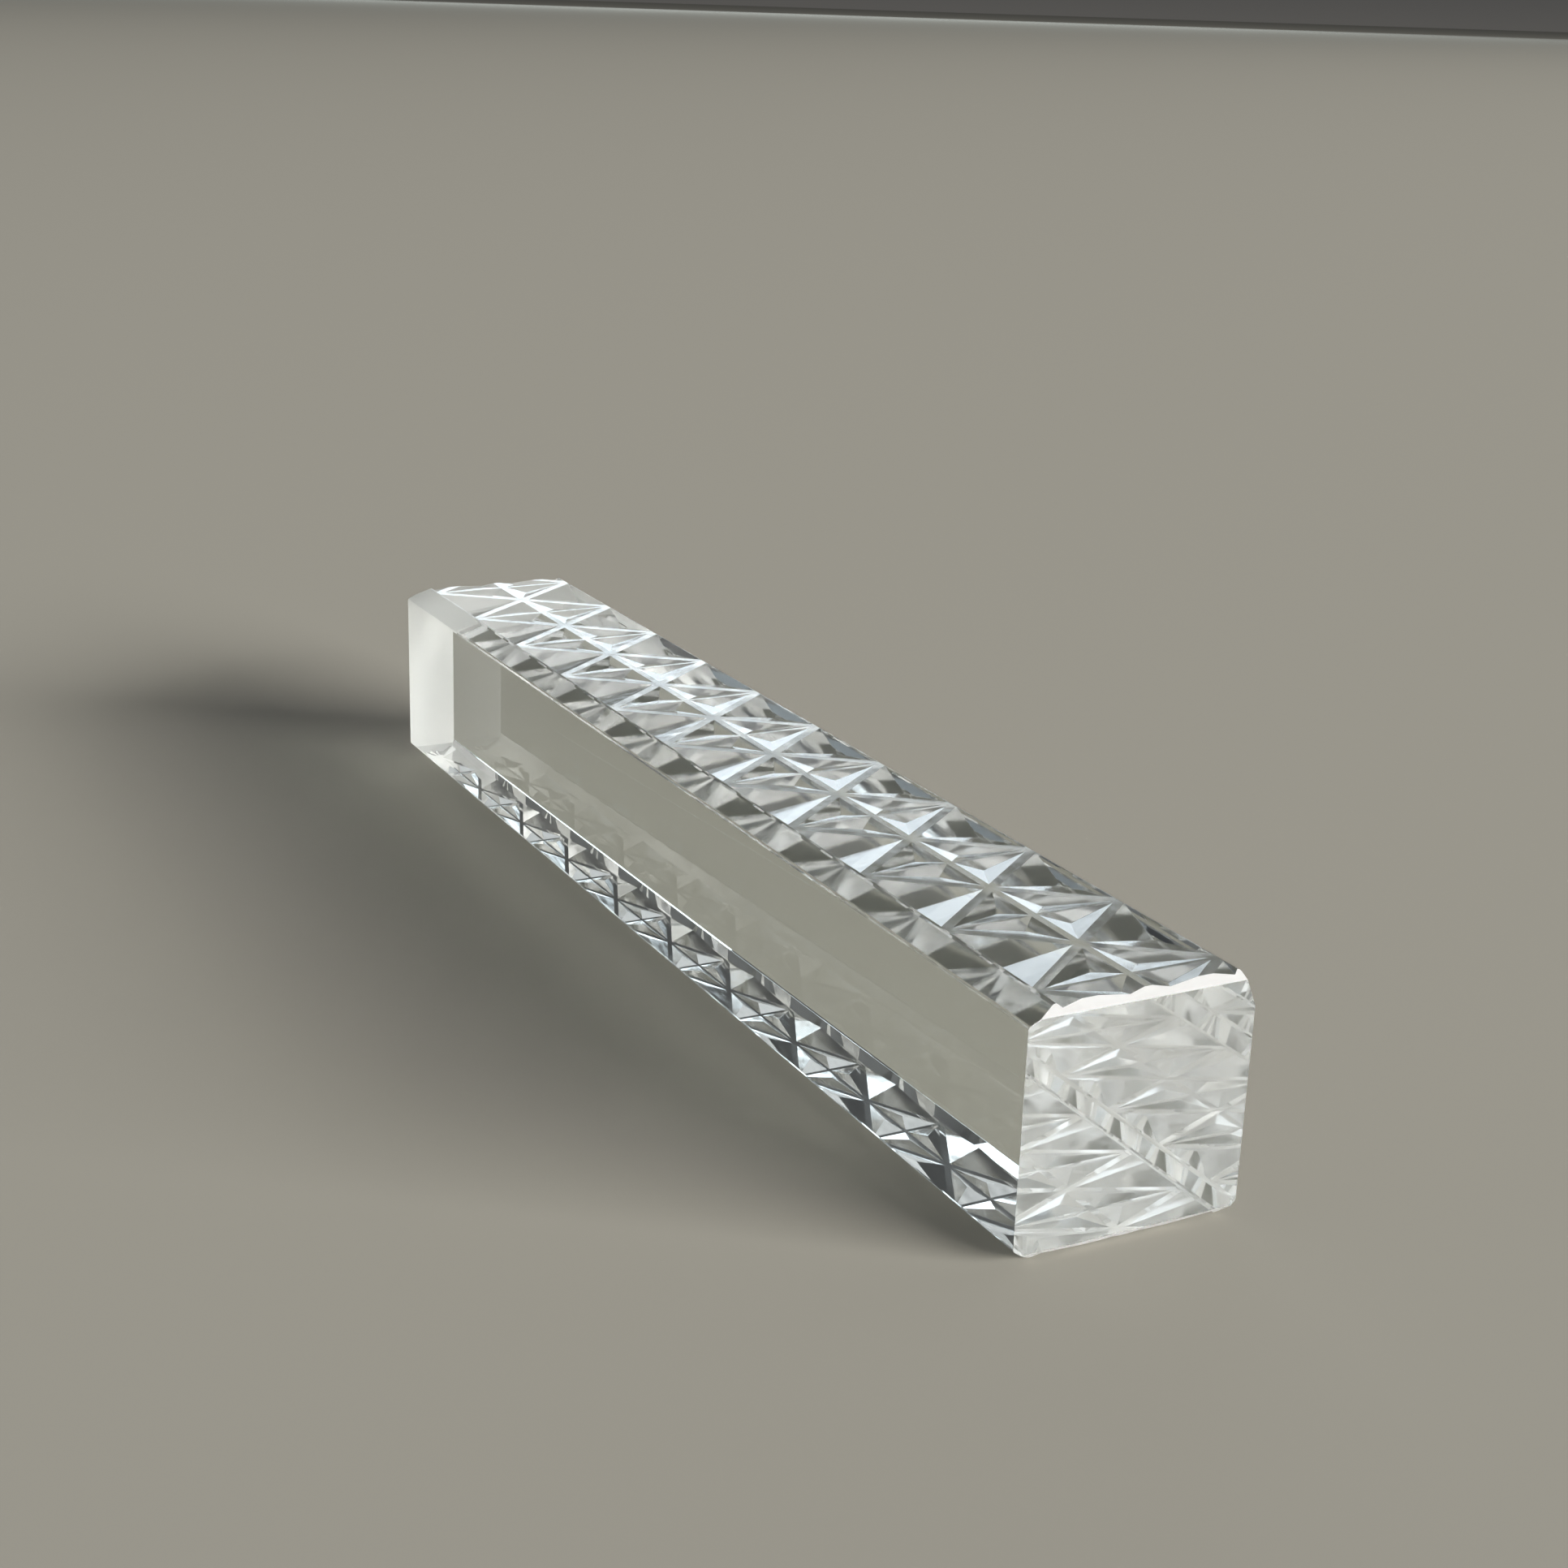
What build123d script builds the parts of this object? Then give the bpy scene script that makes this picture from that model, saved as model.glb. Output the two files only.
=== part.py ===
"""Knife rest: a solid glass bar with a row of star cuts along its top and its bottom face.

Frame: X along the bar, Z up, the origin under the middle of the bar, in the plane it rests on. Millimetres.
"""

import os
from math import hypot

from build123d import *

# The bar
LENGTH = 86.0
WIDTH = 13.0
HEIGHT = 13.0
END_BEVEL = 0.45  # ground arris along the top and the bottom edge of each end

# The chamfers of the long edges, left at -Y: what each takes off its star face and off its plain side
TOP_LEFT_ACROSS = 1.6
TOP_LEFT_DOWN = 0.75
TOP_RIGHT_ACROSS = 0.8
TOP_RIGHT_DOWN = 1.9
BOTTOM_LEFT_ACROSS = 1.2
BOTTOM_LEFT_DOWN = 0.8
BOTTOM_RIGHT_ACROSS = 0.8
BOTTOM_RIGHT_DOWN = 0.7

# The stars: raised lines that cross, level with the face, and the pits between them
WHOLE_STARS = 10  # on the top face; the row runs on past them and the ends cut it short
PITCH = 8.2
RAY_LAND = 0.55  # width of the two rays that cross in the centre of a star
SPINE_LAND = 0.45  # width of the line that runs along the bar through every centre
SEAM_LAND = 0.25  # width of the line between one star and the next
RIM_LAND = 0.15  # from a fan pit to the chamfer
FAN_SLOPE = 0.22  # fall of a fan pit away from its two rays
FAN_END_WALL = 0.7  # run of the steep wall at the wide end of a fan pit
FLANK_SLOPE = 0.18  # fall of a flank pit away from all three of its sides

HALF_PITCH = PITCH / 2
HALF_WIDTH = WIDTH / 2
TOP_HALF_FACE = HALF_WIDTH - (TOP_LEFT_ACROSS + TOP_RIGHT_ACROSS) / 2
TOP_MIDDLE = (TOP_LEFT_ACROSS - TOP_RIGHT_ACROSS) / 2
BOTTOM_HALF_FACE = HALF_WIDTH - (BOTTOM_LEFT_ACROSS + BOTTOM_RIGHT_ACROSS) / 2
BOTTOM_MIDDLE = (BOTTOM_LEFT_ACROSS - BOTTOM_RIGHT_ACROSS) / 2
SIDES = (1, -1)


def beside_ray_x(y, offset, half_face):
    """X at which a line beside the ray has this y; a positive offset is on the flank's side."""
    return (y * HALF_PITCH + offset * hypot(HALF_PITCH, half_face)) / half_face


def beside_ray_y(x, offset, half_face):
    """Y at which a line beside the ray has this x; a positive offset is on the flank's side."""
    return (x * half_face - offset * hypot(HALF_PITCH, half_face)) / HALF_PITCH


def fan_pit(half_face):
    """Mouth and lowest point of the pit between the two rays that open towards +Y."""
    wide_y = half_face - RIM_LAND
    wide_x = beside_ray_x(wide_y, -RAY_LAND / 2, half_face)
    mouth = [(0, beside_ray_y(0, -RAY_LAND / 2, half_face)), (wide_x, wide_y), (-wide_x, wide_y)]
    low_y = wide_y - FAN_END_WALL
    from_ray = low_y * HALF_PITCH / hypot(HALF_PITCH, half_face) - RAY_LAND / 2
    return mouth, (0, low_y, -FAN_SLOPE * from_ray)


def flank_pit(half_face):
    """Mouth and lowest point of the pit between a ray, the spine and the seam at +X."""
    spine_y = SPINE_LAND / 2
    seam_x = HALF_PITCH - SEAM_LAND / 2
    tip_x = beside_ray_x(spine_y, RAY_LAND / 2, half_face)
    tip_y = beside_ray_y(seam_x, RAY_LAND / 2, half_face)
    mouth = [(tip_x, spine_y), (seam_x, spine_y), (seam_x, tip_y)]
    along = seam_x - tip_x
    across = tip_y - spine_y
    inset = (along + across - hypot(along, across)) / 2
    return mouth, (seam_x - inset, spine_y + inset, -FLANK_SLOPE * inset)


def mirrored(pit, along, across):
    """A pit with its X and Y times 1 or -1."""
    mouth, (low_x, low_y, low_z) = pit
    return [(along * x, across * y) for x, y in mouth], (along * low_x, across * low_y, low_z)


def star_pits(half_face):
    """Mouths and lowest points of the six pits of a star on a face of this half width."""
    fans = [mirrored(fan_pit(half_face), 1, across) for across in SIDES]
    flanks = [mirrored(flank_pit(half_face), along, across) for along in SIDES for across in SIDES]
    return fans + flanks


def pyramid(mouth, lowest):
    """Solid from a flat mouth down to a point."""
    with BuildSketch(mode=Mode.PRIVATE) as rim:
        Polygon(*mouth, align=None)
    loft(sections=[rim.sketch, Vertex(*lowest)])


def star_row(count):
    """X of the centres of this many stars, about the middle of the bar."""
    return [(index - (count - 1) / 2) * PITCH for index in range(count)]


with BuildPart() as top_star:
    for mouth, lowest in star_pits(TOP_HALF_FACE):
        pyramid(mouth, lowest)

with BuildPart() as bottom_star:
    for mouth, lowest in star_pits(BOTTOM_HALF_FACE):
        pyramid(mouth, lowest)

with BuildPart() as glass_bar:
    with BuildSketch(Plane.YZ.offset(-LENGTH / 2)):
        Polygon(
            (BOTTOM_LEFT_ACROSS - HALF_WIDTH, 0),
            (HALF_WIDTH - BOTTOM_RIGHT_ACROSS, 0),
            (HALF_WIDTH, BOTTOM_RIGHT_DOWN),
            (HALF_WIDTH, HEIGHT - TOP_RIGHT_DOWN),
            (HALF_WIDTH - TOP_RIGHT_ACROSS, HEIGHT),
            (TOP_LEFT_ACROSS - HALF_WIDTH, HEIGHT),
            (-HALF_WIDTH, HEIGHT - TOP_LEFT_DOWN),
            (-HALF_WIDTH, BOTTOM_LEFT_DOWN),
            align=None,
        )
    extrude(amount=LENGTH)
    chamfer(glass_bar.faces().filter_by(Axis.X).edges().filter_by(Axis.Y), length=END_BEVEL)
    with Locations(*[Location((x, TOP_MIDDLE, HEIGHT)) for x in star_row(WHOLE_STARS + 2)]):
        add(top_star.part, mode=Mode.SUBTRACT)
    with Locations(*[Location((x, BOTTOM_MIDDLE, 0), (180, 0, 0)) for x in star_row(WHOLE_STARS + 1)]):
        add(bottom_star.part, mode=Mode.SUBTRACT)

os.makedirs("parts", exist_ok=True)
glass_bar.part.label = "glass_bar"
export_step(glass_bar.part, "parts/glass_bar.step")
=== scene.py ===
"""Looks of the knife rest: a star-cut bar of clear glass with ground ends, on a pale studio floor."""

import logging
import math
from dataclasses import dataclass, replace
from enum import Enum

import bmesh
import bpy
from mathutils import Matrix, Vector


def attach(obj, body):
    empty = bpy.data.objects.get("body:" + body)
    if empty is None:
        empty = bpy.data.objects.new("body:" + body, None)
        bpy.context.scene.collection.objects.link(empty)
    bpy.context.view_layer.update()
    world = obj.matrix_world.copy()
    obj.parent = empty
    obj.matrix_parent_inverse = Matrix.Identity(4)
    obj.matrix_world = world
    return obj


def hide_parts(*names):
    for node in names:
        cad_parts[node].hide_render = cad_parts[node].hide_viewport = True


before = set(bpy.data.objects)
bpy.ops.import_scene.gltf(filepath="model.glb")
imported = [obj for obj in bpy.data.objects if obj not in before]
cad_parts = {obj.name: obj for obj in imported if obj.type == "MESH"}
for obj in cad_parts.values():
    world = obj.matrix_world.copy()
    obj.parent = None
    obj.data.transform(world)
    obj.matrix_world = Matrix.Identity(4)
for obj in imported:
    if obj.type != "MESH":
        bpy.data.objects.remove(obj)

LOG = logging.getLogger("knife_rest")
Colour = tuple[float, float, float]
Point = tuple[float, float, float]
Pit = tuple[list[tuple[float, float]], Point]

MM = 0.001

# Noise of the finishes: its detail, and the part of its range that the roughness is spread over
PATCH_DETAIL = 4.0
RIPPLE_DETAIL = 1.0
NOISE_LOW = 0.35
NOISE_HIGH = 0.75

# Rounded edges: an even round of this many strips, on edges sharper than this angle
ROUND_PROFILE = 0.5
ROUND_STRIPS = 2
SHARP_ANGLE = math.radians(5.0)

# Camera and lamps: width of the sensor in millimetres, nearest distance in view, point that the lamps face
SENSOR_WIDTH = 36.0
NEAREST_VIEW = 0.005
LAMP_AIM = Vector((0.0, 0.0, 0.006))

# Inputs of the tree that cuts the stars
ROW_INPUTS = {
    "Geometry": "NodeSocketGeometry",
    "Top Cutter": "NodeSocketObject",
    "Bottom Cutter": "NodeSocketObject",
    "Pitch": "NodeSocketFloat",
    "Top Stars": "NodeSocketInt",
    "Bottom Stars": "NodeSocketInt",
    "Top Place": "NodeSocketVector",
    "Bottom Place": "NodeSocketVector",
    "Scale": "NodeSocketFloat",
}


class Zone(Enum):
    """Areas of the bar that have a finish of their own."""

    POLISHED = "polished"
    LAND = "land"
    PIT = "pit"
    CHAMFER = "chamfer"
    NEAR_END = "near_end"
    FAR_END = "far_end"
    ARRIS = "arris"


class NormalPart(Enum):
    """Parts of a face's normal, with or without their sign."""

    X = "x"
    Z = "z"
    X_SIZE = "x_size"
    Z_SIZE = "z_size"


@dataclass(frozen=True)
class Facing:
    """Direction that the faces of a zone look in.

    Attributes:
        part: Part of the normal that tells the zone.
        value: What that part is in the zone.
        spread: How far it may be from that.
    """

    part: NormalPart
    value: float
    spread: float


@dataclass(frozen=True)
class GlassFinish:
    """One finish of the bar's glass, from polished to ground.

    Attributes:
        name: Name of the material.
        tint: Colour of the glass.
        roughness: Smallest and largest roughness, mixed in patches.
        patch_mm: Size of those patches.
        ripple_mm: Width of the ripples that the surface has.
        ripple_height_mm: Height of those ripples.
        clearness: Share of the light that passes, the rest being scattered white.
        refraction: Index of refraction.
    """

    name: str
    tint: Colour
    roughness: tuple[float, float]
    patch_mm: float
    ripple_mm: float
    ripple_height_mm: float
    clearness: float = 1.0
    refraction: float = 1.52

    def material(self) -> bpy.types.Material:
        """Make the finish as a node material.

        Returns:
            The new material.
        """
        material = bpy.data.materials.new(self.name)
        material.use_nodes = True
        nodes = material.node_tree.nodes
        links = material.node_tree.links
        shader = nodes["Principled BSDF"]
        shader.inputs["Base Color"].default_value = (*self.tint, 1.0)
        shader.inputs["IOR"].default_value = self.refraction
        shader.inputs["Transmission Weight"].default_value = self.clearness
        place = nodes.new("ShaderNodeTexCoord")
        patches = nodes.new("ShaderNodeTexNoise")
        patches.inputs["Scale"].default_value = 1.0 / (self.patch_mm * MM)
        patches.inputs["Detail"].default_value = PATCH_DETAIL
        spread = nodes.new("ShaderNodeMapRange")
        spread.inputs["From Min"].default_value = NOISE_LOW
        spread.inputs["From Max"].default_value = NOISE_HIGH
        spread.inputs["To Min"].default_value = self.roughness[0]
        spread.inputs["To Max"].default_value = self.roughness[1]
        ripples = nodes.new("ShaderNodeTexNoise")
        ripples.inputs["Scale"].default_value = 1.0 / (self.ripple_mm * MM)
        ripples.inputs["Detail"].default_value = RIPPLE_DETAIL
        bump = nodes.new("ShaderNodeBump")
        bump.inputs["Strength"].default_value = 1.0
        bump.inputs["Distance"].default_value = self.ripple_height_mm * MM
        links.new(place.outputs["Object"], patches.inputs["Vector"])
        links.new(patches.outputs["Fac"], spread.inputs["Value"])
        links.new(spread.outputs["Result"], shader.inputs["Roughness"])
        links.new(place.outputs["Object"], ripples.inputs["Vector"])
        links.new(ripples.outputs["Fac"], bump.inputs["Height"])
        links.new(bump.outputs["Normal"], shader.inputs["Normal"])
        return material


@dataclass(frozen=True)
class FloorFinish:
    """The matt, pale finish of the floor.

    Attributes:
        name: Name of the material.
        tint: Colour of the floor.
        roughness: Roughness of the floor.
        gloss: Strength of the floor's reflections.
    """

    name: str
    tint: Colour
    roughness: float
    gloss: float

    def material(self) -> bpy.types.Material:
        """Make the finish as a node material.

        Returns:
            The new material.
        """
        material = bpy.data.materials.new(self.name)
        material.use_nodes = True
        shader = material.node_tree.nodes["Principled BSDF"]
        shader.inputs["Base Color"].default_value = (*self.tint, 1.0)
        shader.inputs["Roughness"].default_value = self.roughness
        shader.inputs["Specular IOR Level"].default_value = self.gloss
        return material


@dataclass(frozen=True)
class StarCut:
    """Sizes of one star: raised lines that cross, level with the face, and the pits between them.

    Attributes:
        pitch: From one star to the next.
        ray_land: Width of the two rays that cross in the centre.
        spine_land: Width of the line along the bar through every centre.
        seam_land: Width of the line between one star and the next.
        rim_land: From a fan pit to the chamfer.
        fan_slope: Fall of a fan pit away from its two rays.
        fan_end_wall: Run of the steep wall at the wide end of a fan pit.
        flank_slope: Fall of a flank pit away from its three sides.
        half_face: Half the width of the face that the stars lie on, set for each row.
        overlap: How far a cutter stands proud of the face.
    """

    pitch: float
    ray_land: float
    spine_land: float
    seam_land: float
    rim_land: float
    fan_slope: float
    fan_end_wall: float
    flank_slope: float
    half_face: float = 0.0
    overlap: float = 0.02

    @property
    def half_pitch(self) -> float:
        """Half the distance from star to star."""
        return self.pitch / 2

    @property
    def ray_length(self) -> float:
        """Length of a ray from the centre to the corner of its cell."""
        return math.hypot(self.half_pitch, self.half_face)

    def beside_ray_x(self, y: float, offset: float) -> float:
        """Find a point on a line beside a ray.

        Args:
            y: Distance of the point from the spine.
            offset: Distance of the line from the ray, positive towards the flank.

        Returns:
            Distance of the point from the star's centre along the bar.
        """
        return (y * self.half_pitch + offset * self.ray_length) / self.half_face

    def beside_ray_y(self, x: float, offset: float) -> float:
        """Find a point on a line beside a ray.

        Args:
            x: Distance of the point from the star's centre along the bar.
            offset: Distance of the line from the ray, positive towards the flank.

        Returns:
            Distance of the point from the spine.
        """
        return (x * self.half_face - offset * self.ray_length) / self.half_pitch

    def fan_pit(self) -> Pit:
        """Lay out the pit between the two rays that open towards +Y.

        Returns:
            The pit's mouth and its lowest point.
        """
        wide_y = self.half_face - self.rim_land
        wide_x = self.beside_ray_x(wide_y, -self.ray_land / 2)
        mouth = [(0.0, self.beside_ray_y(0.0, -self.ray_land / 2)), (wide_x, wide_y), (-wide_x, wide_y)]
        low_y = wide_y - self.fan_end_wall
        from_ray = low_y * self.half_pitch / self.ray_length - self.ray_land / 2
        return mouth, (0.0, low_y, -self.fan_slope * from_ray)

    def flank_pit(self) -> Pit:
        """Lay out the pit between a ray, the spine and the seam at +X.

        Returns:
            The pit's mouth and its lowest point.
        """
        spine_y = self.spine_land / 2
        seam_x = self.half_pitch - self.seam_land / 2
        tip_x = self.beside_ray_x(spine_y, self.ray_land / 2)
        tip_y = self.beside_ray_y(seam_x, self.ray_land / 2)
        mouth = [(tip_x, spine_y), (seam_x, spine_y), (seam_x, tip_y)]
        along = seam_x - tip_x
        across = tip_y - spine_y
        inset = (along + across - math.hypot(along, across)) / 2
        return mouth, (seam_x - inset, spine_y + inset, -self.flank_slope * inset)

    def cutter(self) -> bpy.types.Object:
        """Make the pyramids that cut all six pits of one star, its face at Z = 0.

        Returns:
            A helper object, in millimetres, that the bar's tree repeats.
        """
        shape = bmesh.new()
        sides = (1, -1)
        turned = [(self.fan_pit(), 1, across) for across in sides]
        turned += [(self.flank_pit(), along, across) for along in sides for across in sides]
        for (mouth, lowest), along, across in turned:
            apex = Vector((along * lowest[0], across * lowest[1], lowest[2]))
            grow = (self.overlap - apex.z) / -apex.z
            ring = [Vector((along * x, across * y, 0.0)) for x, y in mouth]
            rim = [shape.verts.new(apex + (point - apex) * grow) for point in ring]
            tip = shape.verts.new(apex)
            shape.faces.new(rim)
            for start, end in zip(rim, rim[1:] + rim[:1]):
                shape.faces.new((start, end, tip))
        bmesh.ops.recalc_face_normals(shape, faces=shape.faces)
        mesh = bpy.data.meshes.new("star_cutter")
        shape.to_mesh(mesh)
        shape.free()
        return bpy.data.objects.new("star_cutter", mesh)


@dataclass(frozen=True)
class Chamfer:
    """The chamfer of a long edge.

    Attributes:
        across: What it takes off the star face.
        down: What it takes off the plain side.
    """

    across: float
    down: float


@dataclass
class StarBar:
    """The bar: a square section with chamfered long edges, ground ends and a row of stars above and below.

    Attributes:
        length: Size along X.
        width: Size along Y.
        height: Size along Z.
        top_left: Chamfer of the upper edge at -Y.
        top_right: Chamfer of the upper edge at +Y.
        bottom_left: Chamfer of the lower edge at -Y.
        bottom_right: Chamfer of the lower edge at +Y.
        end_bevel: Ground arris along the top and the bottom edge of each end face.
        arris_round: Width of the rounded long edges.
        edge_round: Width of the softened edges.
        whole_stars: Whole stars on the top face.
        star: Sizes of a star, its half face set for each row.
        finishes: Finish of each zone.
        facings: Direction that the faces of a zone look in.
    """

    length: float
    width: float
    height: float
    top_left: Chamfer
    top_right: Chamfer
    bottom_left: Chamfer
    bottom_right: Chamfer
    end_bevel: float
    arris_round: float
    edge_round: float
    whole_stars: int
    star: StarCut
    finishes: dict[Zone, GlassFinish]
    facings: dict[Zone, Facing]

    def star_face(self, left: Chamfer, right: Chamfer) -> tuple[StarCut, float]:
        """Fit a star between the two chamfers of its face.

        Args:
            left: Chamfer at -Y.
            right: Chamfer at +Y.

        Returns:
            The star and the Y of its centre.
        """
        half_face = (self.width - left.across - right.across) / 2
        return replace(self.star, half_face=half_face), (left.across - right.across) / 2

    @staticmethod
    def bevel(shape: bmesh.types.BMesh, edges: list[bmesh.types.BMEdge], width: float, segments: int) -> None:
        """Bevel some edges of the blank.

        Args:
            shape: The blank.
            edges: Edges to bevel.
            width: How far the bevel reaches into each face.
            segments: Number of strips that it has.
        """
        bmesh.ops.bevel(
            shape,
            geom=edges,
            offset=width,
            offset_type="OFFSET",
            segments=segments,
            profile=ROUND_PROFILE,
            affect="EDGES",
        )

    def blank(self) -> bpy.types.Object:
        """Make the bar before its stars are cut.

        Returns:
            A linked object, in millimetres.
        """
        side = self.width / 2
        section = [
            (self.bottom_left.across - side, 0.0),
            (side - self.bottom_right.across, 0.0),
            (side, self.bottom_right.down),
            (side, self.height - self.top_right.down),
            (side - self.top_right.across, self.height),
            (self.top_left.across - side, self.height),
            (-side, self.height - self.top_left.down),
            (-side, self.bottom_left.down),
        ]
        shape = bmesh.new()
        ends = [
            shape.faces.new([shape.verts.new((x, y, z)) for y, z in section])
            for x in (-self.length / 2, self.length / 2)
        ]
        rings = [list(end.verts) for end in ends]
        for index in range(len(section)):
            after = (index + 1) % len(section)
            shape.faces.new((rings[0][index], rings[0][after], rings[1][after], rings[1][index]))
        level_edges = [
            edge for end in ends for edge in end.edges
            if edge.verts[0].co.z == edge.verts[1].co.z
        ]
        self.bevel(shape, level_edges, self.end_bevel, segments=1)
        long_edges = [edge for edge in shape.edges if edge.calc_length() > self.length / 2]
        self.bevel(shape, long_edges, self.arris_round, ROUND_STRIPS)
        bmesh.ops.recalc_face_normals(shape, faces=shape.faces)
        mesh = bpy.data.meshes.new("bar_blank")
        shape.to_mesh(mesh)
        shape.free()
        blank = bpy.data.objects.new("bar_blank", mesh)
        bpy.context.scene.collection.objects.link(blank)
        return blank

    def build(self) -> bpy.types.Object:
        """Cut the stars, soften the edges and dress the zones.

        Returns:
            The finished bar, in metres, riding on the part's only body.
        """
        materials = {zone: finish.material() for zone, finish in self.finishes.items()}
        blank = self.blank()
        blank.data.materials.append(materials[Zone.POLISHED])
        top, top_middle = self.star_face(self.top_left, self.top_right)
        bottom, bottom_middle = self.star_face(self.bottom_left, self.bottom_right)
        cutters = {"Top Cutter": top.cutter(), "Bottom Cutter": bottom.cutter()}
        tree = StarRowTree(materials, self.facings).tree()
        rows = blank.modifiers.new("star_rows", "NODES")
        rows.node_group = tree
        values = {
            **cutters,
            "Pitch": self.star.pitch,
            "Top Stars": self.whole_stars + 2,
            "Bottom Stars": self.whole_stars + 1,
            "Top Place": (0.0, top_middle, self.height),
            "Bottom Place": (0.0, bottom_middle, 0.0),
            "Scale": MM,
        }
        for item in tree.interface.items_tree:
            if item.name in values:
                rows[item.identifier] = values[item.name]
        soften = blank.modifiers.new("soft_edges", "BEVEL")
        soften.width = self.edge_round * MM
        soften.segments = ROUND_STRIPS
        soften.limit_method = "ANGLE"
        soften.angle_limit = SHARP_ANGLE
        soften.use_clamp_overlap = True
        bpy.context.view_layer.update()
        evaluated = blank.evaluated_get(bpy.context.evaluated_depsgraph_get())
        mesh = bpy.data.meshes.new_from_object(evaluated)
        mesh.name = "star_cut_bar"
        bar = bpy.data.objects.new("star_cut_bar", mesh)
        bpy.context.scene.collection.objects.link(bar)
        for helper in (blank, *cutters.values()):
            bpy.data.objects.remove(helper)
        bpy.data.node_groups.remove(tree)
        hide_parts("glass_bar")
        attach(bar, "root")
        return bar


@dataclass
class StarRowTree:
    """Geometry Nodes tree that cuts a row of stars into the top and the bottom of a blank.

    Attributes:
        materials: Material of each zone.
        facings: Direction that the faces of a zone look in. A later zone covers an earlier one.
    """

    materials: dict[Zone, bpy.types.Material]
    facings: dict[Zone, Facing]

    def tree(self) -> bpy.types.GeometryNodeTree:
        """Build the tree.

        Returns:
            The new node group.
        """
        group = bpy.data.node_groups.new("star_rows", "GeometryNodeTree")
        for name, kind in ROW_INPUTS.items():
            group.interface.new_socket(name, in_out="INPUT", socket_type=kind)
        group.interface.new_socket("Geometry", in_out="OUTPUT", socket_type="NodeSocketGeometry")
        nodes, links = group.nodes, group.links
        inputs = nodes.new("NodeGroupInput")
        outputs = nodes.new("NodeGroupOutput")
        top = self.row(group, inputs, "Top Cutter", "Top Stars")
        bottom = self.row(group, inputs, "Bottom Cutter", "Bottom Stars")
        raised = nodes.new("GeometryNodeTransform")
        links.new(top, raised.inputs["Geometry"])
        links.new(inputs.outputs["Top Place"], raised.inputs["Translation"])
        turned = nodes.new("GeometryNodeTransform")
        turned.inputs["Rotation"].default_value = (math.pi, 0.0, 0.0)
        links.new(bottom, turned.inputs["Geometry"])
        links.new(inputs.outputs["Bottom Place"], turned.inputs["Translation"])
        both = nodes.new("GeometryNodeJoinGeometry")
        links.new(raised.outputs["Geometry"], both.inputs["Geometry"])
        links.new(turned.outputs["Geometry"], both.inputs["Geometry"])
        cut = nodes.new("GeometryNodeMeshBoolean")
        cut.operation = "DIFFERENCE"
        cut.solver = "EXACT"
        links.new(inputs.outputs["Geometry"], cut.inputs["Mesh 1"])
        links.new(both.outputs["Geometry"], cut.inputs["Mesh 2"])
        scaled = nodes.new("GeometryNodeTransform")
        links.new(cut.outputs["Mesh"], scaled.inputs["Geometry"])
        links.new(inputs.outputs["Scale"], scaled.inputs["Scale"])
        whole = nodes.new("GeometryNodeRealizeInstances")
        links.new(scaled.outputs["Geometry"], whole.inputs["Geometry"])
        dressed = self.dress(group, whole.outputs["Geometry"])
        links.new(dressed, outputs.inputs["Geometry"])
        return group

    def row(
        self,
        group: bpy.types.GeometryNodeTree,
        inputs: bpy.types.Node,
        cutter: str,
        count: str,
    ) -> bpy.types.NodeSocket:
        """Add a row of star cutters about the middle of the bar.

        Args:
            group: Tree to add to.
            inputs: The tree's inputs.
            cutter: Input that holds the cutter of one star.
            count: Input that holds the number of stars.

        Returns:
            Socket with the row as one mesh.
        """
        nodes, links = group.nodes, group.links
        star = nodes.new("GeometryNodeObjectInfo")
        links.new(inputs.outputs[cutter], star.inputs["Object"])
        gaps = nodes.new("ShaderNodeMath")
        gaps.operation = "SUBTRACT"
        gaps.inputs[1].default_value = 1.0
        links.new(inputs.outputs[count], gaps.inputs[0])
        reach = nodes.new("ShaderNodeMath")
        reach.operation = "MULTIPLY"
        links.new(gaps.outputs[0], reach.inputs[0])
        links.new(inputs.outputs["Pitch"], reach.inputs[1])
        back = nodes.new("ShaderNodeMath")
        back.operation = "MULTIPLY"
        back.inputs[1].default_value = -0.5
        links.new(reach.outputs[0], back.inputs[0])
        start = nodes.new("ShaderNodeCombineXYZ")
        links.new(back.outputs[0], start.inputs["X"])
        step = nodes.new("ShaderNodeCombineXYZ")
        links.new(inputs.outputs["Pitch"], step.inputs["X"])
        line = nodes.new("GeometryNodeMeshLine")
        links.new(inputs.outputs[count], line.inputs["Count"])
        links.new(start.outputs["Vector"], line.inputs["Start Location"])
        links.new(step.outputs["Vector"], line.inputs["Offset"])
        stars = nodes.new("GeometryNodeInstanceOnPoints")
        links.new(line.outputs["Mesh"], stars.inputs["Points"])
        links.new(star.outputs["Geometry"], stars.inputs["Instance"])
        row = nodes.new("GeometryNodeRealizeInstances")
        links.new(stars.outputs["Instances"], row.inputs["Geometry"])
        return row.outputs["Geometry"]

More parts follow.
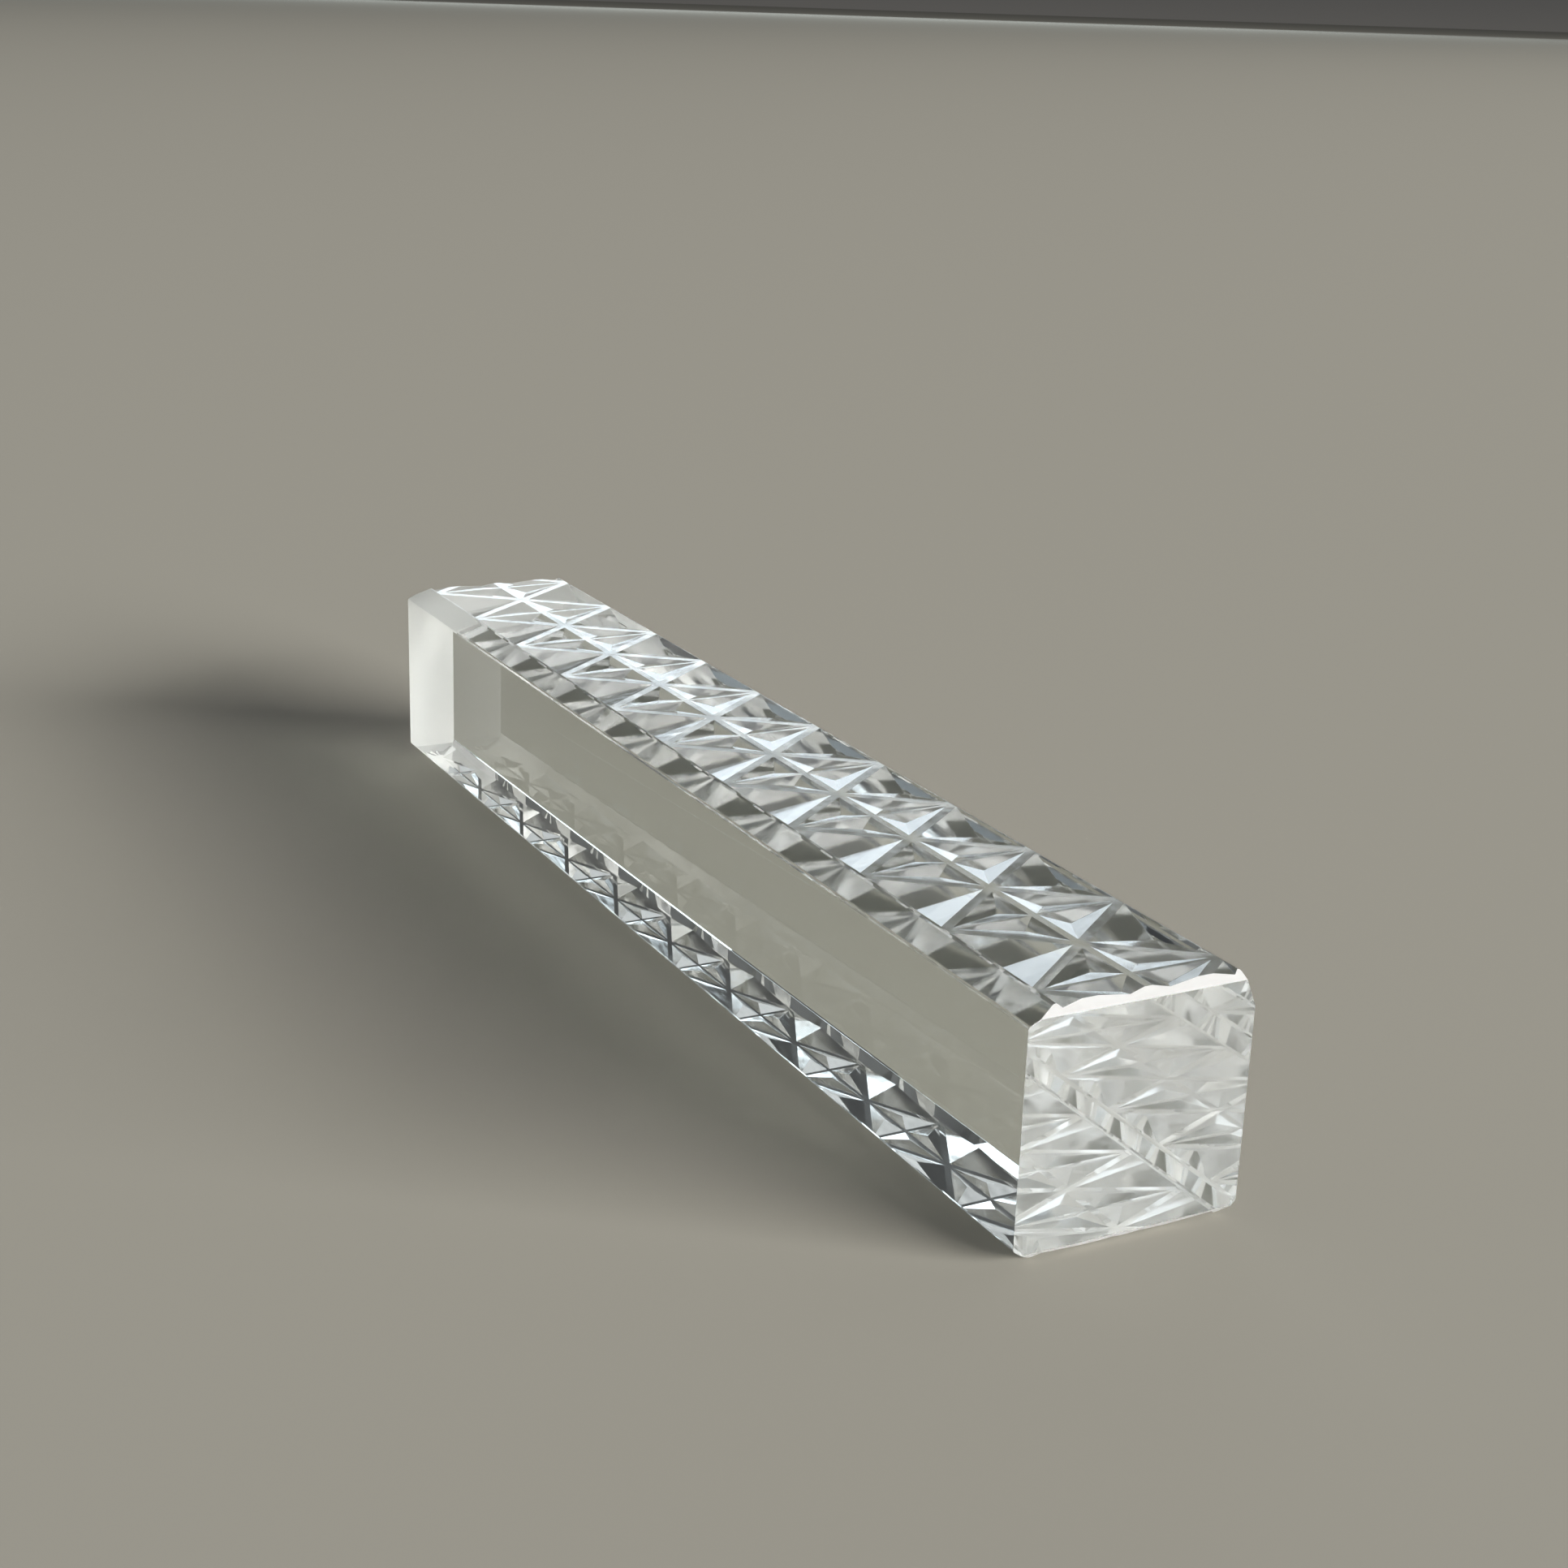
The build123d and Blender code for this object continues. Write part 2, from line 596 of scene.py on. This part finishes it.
    def dress(self, group: bpy.types.GeometryNodeTree, mesh: bpy.types.NodeSocket) -> bpy.types.NodeSocket:
        """Give each zone its finish, by the direction that a face looks in.

        Args:
            group: Tree to add to.
            mesh: Socket with the cut bar.

        Returns:
            Socket with the dressed bar.
        """
        nodes, links = group.nodes, group.links
        normal = nodes.new("GeometryNodeInputNormal")
        parts = nodes.new("ShaderNodeSeparateXYZ")
        links.new(normal.outputs["Normal"], parts.inputs["Vector"])
        x_size = nodes.new("ShaderNodeMath")
        x_size.operation = "ABSOLUTE"
        links.new(parts.outputs["X"], x_size.inputs[0])
        z_size = nodes.new("ShaderNodeMath")
        z_size.operation = "ABSOLUTE"
        links.new(parts.outputs["Z"], z_size.inputs[0])
        sources = {
            NormalPart.X: parts.outputs["X"],
            NormalPart.Z: parts.outputs["Z"],
            NormalPart.X_SIZE: x_size.outputs[0],
            NormalPart.Z_SIZE: z_size.outputs[0],
        }
        for zone in (Zone.POLISHED, *self.facings):
            coat = nodes.new("GeometryNodeSetMaterial")
            coat.inputs["Material"].default_value = self.materials[zone]
            if zone in self.facings:
                facing = self.facings[zone]
                near = nodes.new("ShaderNodeMath")
                near.operation = "COMPARE"
                near.inputs[1].default_value = facing.value
                near.inputs[2].default_value = facing.spread
                links.new(sources[facing.part], near.inputs[0])
                links.new(near.outputs[0], coat.inputs["Selection"])
            links.new(mesh, coat.inputs["Geometry"])
            mesh = coat.outputs["Geometry"]
        return mesh


@dataclass(frozen=True)
class Softbox:
    """A soft lamp that points at the bar.

    Attributes:
        name: Name of the lamp.
        place: Where it stands.
        size: Its width and height.
        power: Its power in watts.
        tint: Its colour.
    """

    name: str
    place: Point
    size: tuple[float, float]
    power: float
    tint: Colour

    def light(self) -> bpy.types.Object:
        """Set up the lamp.

        Returns:
            The lamp's object.
        """
        data = bpy.data.lights.new(self.name, "AREA")
        data.shape = "RECTANGLE"
        data.size, data.size_y = self.size
        data.energy = self.power
        data.color = self.tint
        lamp = bpy.data.objects.new(self.name, data)
        lamp.location = self.place
        aim = LAMP_AIM - Vector(self.place)
        lamp.rotation_euler = aim.to_track_quat("-Z", "Y").to_euler()
        bpy.context.scene.collection.objects.link(lamp)
        return lamp


@dataclass(frozen=True)
class Viewpoint:
    """The camera at the photograph's viewing angle.

    Attributes:
        eye: Where the camera stands.
        azimuth: Turn about Z in degrees, 0 looking along +Y.
        elevation: Height above the floor in degrees.
        roll: Tilt of the picture in degrees.
        focal_px: Focal length in pixels of the picture.
        picture_px: Width of the picture in pixels.
    """

    eye: Point
    azimuth: float
    elevation: float
    roll: float
    focal_px: float
    picture_px: float

    def camera(self) -> bpy.types.Object:
        """Set up the camera and make it the scene's own.

        Returns:
            The camera's object.
        """
        data = bpy.data.cameras.new("camera")
        data.sensor_width = SENSOR_WIDTH
        data.lens = data.sensor_width * self.focal_px / self.picture_px
        data.clip_start = NEAREST_VIEW
        turn = Matrix.Rotation(math.radians(self.azimuth), 4, "Z")
        tilt = Matrix.Rotation(math.radians(90.0 - self.elevation), 4, "X")
        roll = Matrix.Rotation(math.radians(self.roll), 4, "Z")
        camera = bpy.data.objects.new("camera", data)
        camera.matrix_world = Matrix.Translation(self.eye) @ turn @ tilt @ roll
        bpy.context.scene.collection.objects.link(camera)
        bpy.context.scene.camera = camera
        return camera


@dataclass(frozen=True)
class Room:
    """The surroundings: as pale as the floor at its rim, dim above that and light overhead.

    Attributes:
        rim: Colour where the floor ends.
        low: Colour above that.
        high: Colour overhead.
        rim_rise: Height of a direction up to which the rim reaches, 0 level and 1 straight up.
        low_rise: Height of a direction up to which the room is dim.
        high_rise: Height of a direction from which it is light.
    """

    rim: Colour
    low: Colour
    high: Colour
    rim_rise: float
    low_rise: float
    high_rise: float

    def world(self) -> bpy.types.World:
        """Make the surroundings.

        Returns:
            The new world.
        """
        world = bpy.data.worlds.new("room")
        world.use_nodes = True
        nodes, links = world.node_tree.nodes, world.node_tree.links
        direction = nodes.new("ShaderNodeTexCoord")
        parts = nodes.new("ShaderNodeSeparateXYZ")
        links.new(direction.outputs["Generated"], parts.inputs["Vector"])
        ramp = nodes.new("ShaderNodeValToRGB")
        stops = ramp.color_ramp.elements
        stops[0].color = (*self.rim, 1.0)
        stops[1].position = self.high_rise
        stops[1].color = (*self.high, 1.0)
        for position in (self.rim_rise, self.low_rise):
            stops.new(position).color = (*self.low, 1.0)
        links.new(parts.outputs["Z"], ramp.inputs["Fac"])
        links.new(ramp.outputs["Color"], nodes["Background"].inputs["Color"])
        return world


@dataclass
class Studio:
    """Floor, lamps, surroundings and camera.

    Attributes:
        floor_size: Length of the floor's sides.
        floor_gap: How far the floor lies under the bar, so that the glass keeps its air below.
        floor_finish: Finish of the floor.
        room: The surroundings.
        lamps: The soft lamps.
        viewpoint: The camera.
        light_steps: How many times light may bounce inside the glass.
    """

    floor_size: float
    floor_gap: float
    floor_finish: FloorFinish
    room: Room
    lamps: list[Softbox]
    viewpoint: Viewpoint
    light_steps: int

    def floor(self) -> bpy.types.Object:
        """Lay the floor.

        Returns:
            The floor's object.
        """
        half = self.floor_size / 2
        mesh = bpy.data.meshes.new("floor")
        corners = [(-half, -half), (half, -half), (half, half), (-half, half)]
        mesh.from_pydata([(x, y, -self.floor_gap) for x, y in corners], [], [(0, 1, 2, 3)])
        mesh.materials.append(self.floor_finish.material())
        floor = bpy.data.objects.new("floor", mesh)
        bpy.context.scene.collection.objects.link(floor)
        return floor

    def show(self) -> None:
        """Set the surroundings and the way that light is followed and shown."""
        scene = bpy.context.scene
        scene.world = self.room.world()
        scene.view_settings.view_transform = "Standard"
        scene.cycles.max_bounces = self.light_steps
        scene.cycles.transmission_bounces = self.light_steps
        scene.cycles.glossy_bounces = self.light_steps

    def build(self) -> None:
        """Set up the whole studio."""
        self.floor()
        for lamp in self.lamps:
            lamp.light()
        self.show()
        self.viewpoint.camera()


STAR = StarCut(
    pitch=8.2,
    ray_land=0.55,
    spine_land=0.45,
    seam_land=0.25,
    rim_land=0.15,
    fan_slope=0.22,
    fan_end_wall=0.7,
    flank_slope=0.18,
)
CLEAR = (0.945, 0.985, 0.96)
GROUND = (0.99, 0.99, 0.99)
FINISHES = {
    Zone.POLISHED: GlassFinish(
        name="polished_glass",
        tint=CLEAR,
        roughness=(0.0, 0.015),
        patch_mm=3.0,
        ripple_mm=6.0,
        ripple_height_mm=0.001,
    ),
    Zone.LAND: GlassFinish(
        name="worn_land",
        tint=CLEAR,
        roughness=(0.1, 0.25),
        patch_mm=0.8,
        ripple_mm=3.0,
        ripple_height_mm=0.002,
        clearness=0.9,
    ),
    Zone.PIT: GlassFinish(
        name="wheel_cut_pit",
        tint=CLEAR,
        roughness=(0.07, 0.16),
        patch_mm=0.8,
        ripple_mm=2.5,
        ripple_height_mm=0.02,
    ),
    Zone.CHAMFER: GlassFinish(
        name="ground_chamfer",
        tint=CLEAR,
        roughness=(0.07, 0.11),
        patch_mm=1.5,
        ripple_mm=4.0,
        ripple_height_mm=0.004,
    ),
    Zone.NEAR_END: GlassFinish(
        name="half_polished_end",
        tint=CLEAR,
        roughness=(0.02, 0.05),
        patch_mm=0.8,
        ripple_mm=1.5,
        ripple_height_mm=0.002,
        clearness=0.97,
    ),
    Zone.FAR_END: GlassFinish(
        name="ground_end",
        tint=GROUND,
        roughness=(0.5, 0.7),
        patch_mm=0.8,
        ripple_mm=0.4,
        ripple_height_mm=0.01,
        clearness=0.55,
    ),
    Zone.ARRIS: GlassFinish(
        name="ground_arris",
        tint=GROUND,
        roughness=(0.45, 0.6),
        patch_mm=0.6,
        ripple_mm=0.3,
        ripple_height_mm=0.01,
        clearness=0.65,
    ),
}
FACINGS = {
    Zone.LAND: Facing(NormalPart.Z, 1.0, 0.001),
    Zone.PIT: Facing(NormalPart.Z_SIZE, 0.982, 0.0165),
    Zone.CHAMFER: Facing(NormalPart.Z, 0.911, 0.02),
    Zone.ARRIS: Facing(NormalPart.X_SIZE, 0.8, 0.14),
    Zone.NEAR_END: Facing(NormalPart.X, 1.0, 0.01),
    Zone.FAR_END: Facing(NormalPart.X, -1.0, 0.01),
}
BAR = StarBar(
    length=86.0,
    width=13.0,
    height=13.0,
    top_left=Chamfer(1.6, 0.75),
    top_right=Chamfer(0.8, 1.9),
    bottom_left=Chamfer(1.2, 0.8),
    bottom_right=Chamfer(0.8, 0.7),
    end_bevel=0.45,
    arris_round=0.13,
    edge_round=0.08,
    whole_stars=10,
    star=STAR,
    finishes=FINISHES,
    facings=FACINGS,
)
STUDIO = Studio(
    floor_size=60.0,
    floor_gap=0.1 * MM,
    floor_finish=FloorFinish("pale_floor", tint=(0.395, 0.379, 0.33), roughness=0.7, gloss=0.0),
    room=Room(
        rim=(0.09, 0.087, 0.082),
        low=(0.04, 0.042, 0.045),
        high=(0.17, 0.175, 0.18),
        rim_rise=0.04,
        low_rise=0.3,
        high_rise=0.75,
    ),
    lamps=[
        Softbox("window", (10.0, 6.3, 3.5), (9.0, 3.0), 3700.0, (1.0, 0.98, 0.95)),
        Softbox("skylight", (-9.0, 5.0, 8.5), (8.0, 3.0), 50.0, (0.95, 0.97, 1.0)),
        Softbox("ahead", (-12.0, 6.2, 2.65), (7.0, 3.0), 205.0, (0.82, 0.92, 1.0)),
    ],
    viewpoint=Viewpoint(
        eye=(0.1247, -0.0629, 0.0560),
        azimuth=62.0,
        elevation=18.24,
        roll=1.90,
        focal_px=2919.5,
        picture_px=1932.0,
    ),
    light_steps=24,
)


def main() -> None:
    """Build the bar and its studio in order, and note the sizes."""
    logging.basicConfig(level=logging.INFO, format="%(name)s: %(message)s")
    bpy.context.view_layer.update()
    bar = BAR.build()
    LOG.info("%s: %d faces", bar.name, len(bar.data.polygons))
    STUDIO.build()
    LOG.info("studio: %d lamps", len(STUDIO.lamps))


if __name__ == "__main__":
    main()
